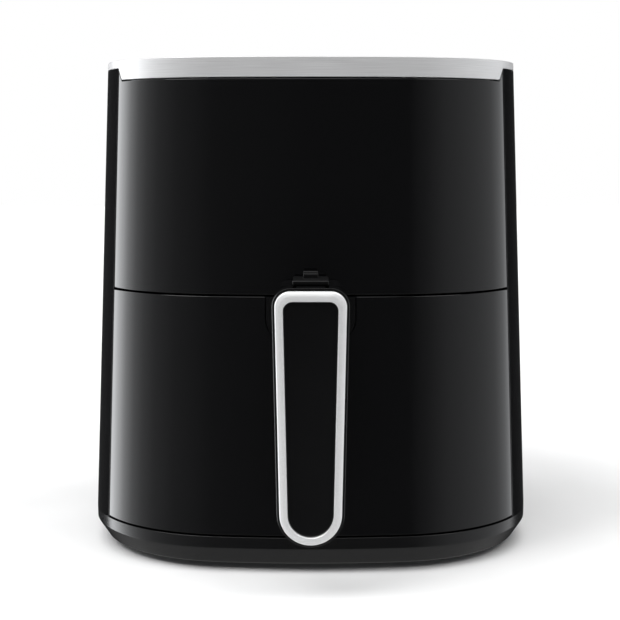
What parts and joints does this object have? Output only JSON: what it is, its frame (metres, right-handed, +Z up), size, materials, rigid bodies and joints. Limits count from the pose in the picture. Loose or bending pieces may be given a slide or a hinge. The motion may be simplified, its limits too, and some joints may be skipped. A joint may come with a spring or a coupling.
{
  "type": "air fryer",
  "caption": "Drawer air fryer: tapered black body with brushed top band, pull-out pan and perforated basket, paddle handle with guarded release, hot-air chamber with heater and fan.",
  "frame": {"origin": "on the table, in the middle of the footprint of body and handle", "axes": "+Z up, handle and drawer towards -Y, +X to the right of someone facing the drawer"},
  "size_m": [0.28, 0.3466, 0.3017],
  "materials": {
    "black_gloss": "gloss, moulded",
    "black_satin": "satin",
    "brushed_band": "fine brushed, satin",
    "satin_frame": "satin silver",
    "dark_glass": "gloss, black backed",
    "circuit_green": "solder-masked board",
    "dark_plastic": "matt",
    "rubber": "matt",
    "screw_steel": "zinc plated",
    "sheet_steel": "bright sheet",
    "aluminised_steel": "dull bright",
    "heater_tube": "heat darkened",
    "ceramic": "matt",
    "copper_wire": "enamelled winding",
    "bronze": "sintered",
    "sensor_steel": "ground",
    "pale_plastic": "matt",
    "component_case": "moulded cases",
    "wire_jacket": "silicone jacket",
    "nonstick_coating": "dark non-stick coating",
    "plunger_red": "matt"
  },
  "bodies": {
    "main_body": {"outer_housing": "black_gloss", "upper_fascia": "black_gloss", "top_trim_band": "brushed_band", "top_cover": "black_gloss", "control_glass": "dark_glass", "control_board": "circuit_green", "base_ring": "black_satin", "base_plate": "dark_plastic", "rubber_feet": "rubber", "base_screws": "screw_steel", "drawer_bay": "dark_plastic", "drawer_rails": "sheet_steel", "chamber_hood": "aluminised_steel", "heat_shield": "sheet_steel", "heating_element": "heater_tube", "element_bushes": "ceramic", "element_clips": "sheet_steel", "element_guard": "aluminised_steel", "motor_bracket": "sheet_steel", "motor_core": "sheet_steel", "motor_coils": "copper_wire", "motor_cap": "sheet_steel", "bearings": "bronze", "motor_screws": "screw_steel", "exhaust_duct": "sheet_steel", "exhaust_grille": "black_satin", "temperature_sensor": "sensor_steel", "thermal_fuse": "ceramic", "board_carrier": "pale_plastic", "power_board": "circuit_green", "board_components": "component_case", "door_switch": "dark_plastic", "cord_inlet": "black_satin", "mains_wiring": "wire_jacket"},
    "fan_rotor": {"convection_fan": "aluminised_steel", "motor_shaft": "sensor_steel", "motor_rotor": "sheet_steel", "cooling_fan": "dark_plastic", "fan_nut": "screw_steel"},
    "drawer": {"drawer_front": "black_gloss", "drawer_backplate": "dark_plastic", "latch_catch": "sheet_steel", "pan": "nonstick_coating", "pan_brackets": "sheet_steel", "pan_screws": "screw_steel", "basket": "nonstick_coating", "basket_bumpers": "rubber", "basket_bracket": "sheet_steel", "handle_grip": "black_satin", "handle_frame": "satin_frame", "handle_insert": "black_satin", "handle_screws": "screw_steel", "release_spring": "screw_steel", "latch_pin": "screw_steel"},
    "button": {"release_button": "dark_plastic"},
    "guard": {"button_guard": "black_satin"},
    "lever": {"latch_lever": "sheet_steel"},
    "plunger": {"switch_plunger": "plunger_red"}
  },
  "joints": [
    {"name": "drawer_slide", "type": "slide", "parent": "main_body", "child": "drawer", "axis": [0, -1, 0], "range_m": [0, 0.25]},
    {"name": "button_press", "type": "slide", "parent": "drawer", "child": "button", "axis": [0, 0, -1], "range_m": [0, 0.0035], "stiffness_N_per_m": 400, "springref_m": -0.002, "deforming": ["release_spring"]},
    {"name": "guard_slide", "type": "slide", "parent": "drawer", "child": "guard", "axis": [0, -1, 0], "range_m": [0, 0.013]},
    {"name": "latch_pivot", "type": "hinge", "parent": "drawer", "child": "lever", "pos_m": [0, -0.11575, 0.156], "axis": [1, 0, 0], "range_deg": [0, 10]},
    {"name": "fan_spin", "type": "hinge", "parent": "main_body", "child": "fan_rotor", "pos_m": [0, 0.02525, 0.2], "axis": [0, 0, 1], "continuous": true},
    {"name": "plunger_travel", "type": "slide", "parent": "main_body", "child": "plunger", "axis": [0, -1, 0], "range_m": [0, 0.0031]}
  ],
  "couplings": [
    {"joint": "latch_pivot", "follows": "button_press", "rad_per_m": 36.574},
    {"joint": "plunger_travel", "follows": "drawer_slide", "ratio": 0.012}
  ]
}
